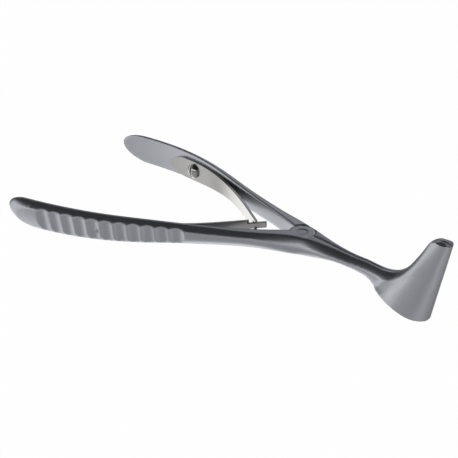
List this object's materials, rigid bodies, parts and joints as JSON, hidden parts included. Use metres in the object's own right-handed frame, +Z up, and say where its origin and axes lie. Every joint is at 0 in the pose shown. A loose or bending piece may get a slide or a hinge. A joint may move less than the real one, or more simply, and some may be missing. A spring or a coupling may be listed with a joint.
{
  "type": "nasal speculum",
  "caption": "Spring-handled nasal speculum: squeezing the fluted handles spreads the two halves of the blunt funnel blade.",
  "frame": {"origin": "under the middle of the instrument's bounding box, on the table it lies on", "axes": "+X along the instrument from the handle ends to the blades, +Y towards the far arm, +Z up, along the hinge pin and the blades"},
  "size_m": [0.1507, 0.0644, 0.0279],
  "materials": {
    "arms": "satin",
    "springs": "polished",
    "screws": "polished",
    "pin": "satin"
  },
  "bodies": {
    "near_half": {"near_arm": "arms", "joint_pin": "pin", "near_spring": "springs", "near_spring_screw": "screws"},
    "far_half": {"far_arm": "arms", "far_spring": "springs", "far_spring_screw": "screws"}
  },
  "joints": [
    {"name": "arms_hinge", "type": "hinge", "parent": "near_half", "child": "far_half", "pos_m": [0.02285, 0, 0.0115], "axis": [0, 0, 1], "range_deg": [0, 30], "stiffness_Nm_per_rad": 0.8, "springref_deg": -11.46, "deforming": ["near_spring", "far_spring"]}
  ]
}
